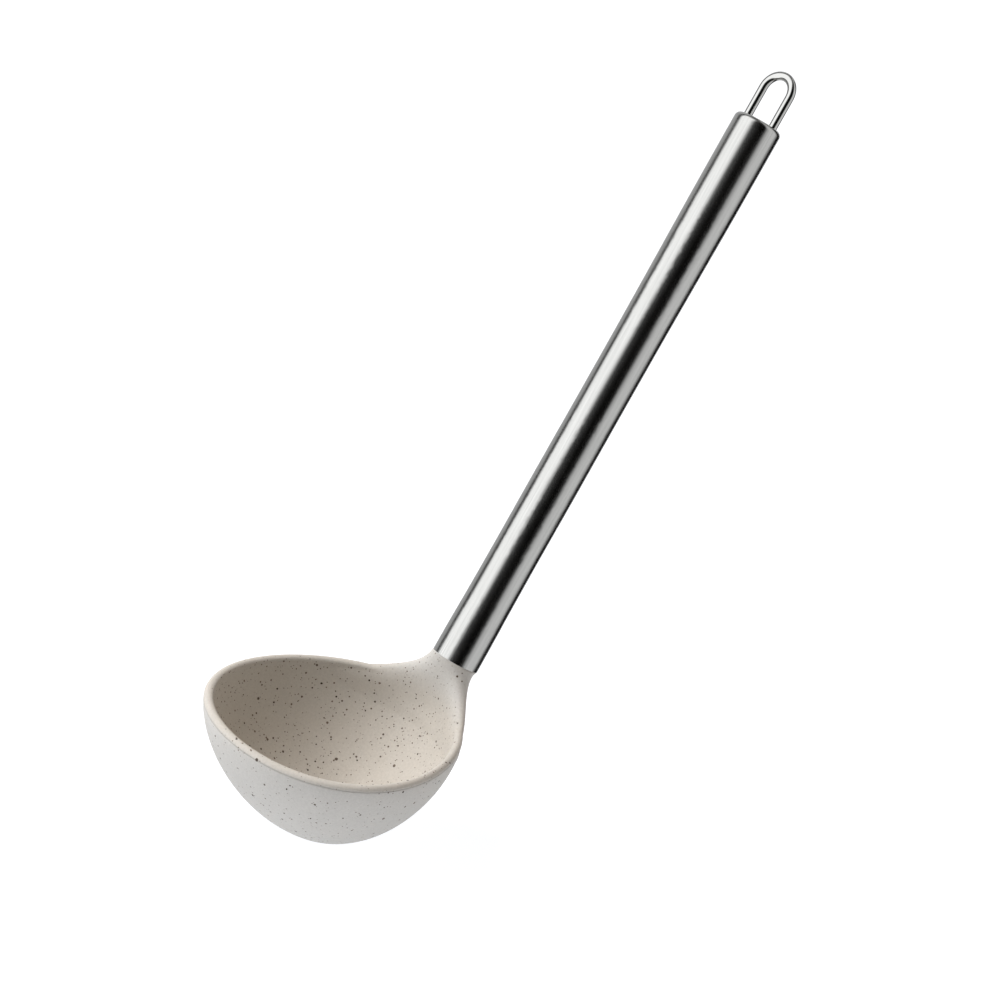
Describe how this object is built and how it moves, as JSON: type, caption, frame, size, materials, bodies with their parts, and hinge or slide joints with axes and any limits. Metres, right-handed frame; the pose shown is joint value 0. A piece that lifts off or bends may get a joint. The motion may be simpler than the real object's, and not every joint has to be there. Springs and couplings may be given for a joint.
{
  "type": "soup ladle",
  "caption": "Soup ladle with a deep egg-shaped silicone bowl on a stiff core, a flared neck, a slim waisted steel tube handle and a wire hanging loop.",
  "frame": {"origin": "the underside of the bowl on its axis, where the bowl rests in a spoon rest", "axes": "+Z out of the open bowl, +X towards the handle, XZ the plane of symmetry"},
  "size_m": [0.1892, 0.088, 0.259],
  "materials": {
    "silicone": "matte, with dark speckle",
    "nylon": "moulded",
    "epoxy": "cured",
    "satin_steel": "satin, brushed along its length",
    "polished_wire": "polished",
    "weld": "as welded"
  },
  "bodies": {
    "root": {"silicone_head": "silicone", "head_core": "nylon", "bond_sleeve": "epoxy", "handle_tube": "satin_steel", "end_cap": "satin_steel", "hanging_loop": "polished_wire", "loop_welds": "weld"}
  },
  "joints": []
}
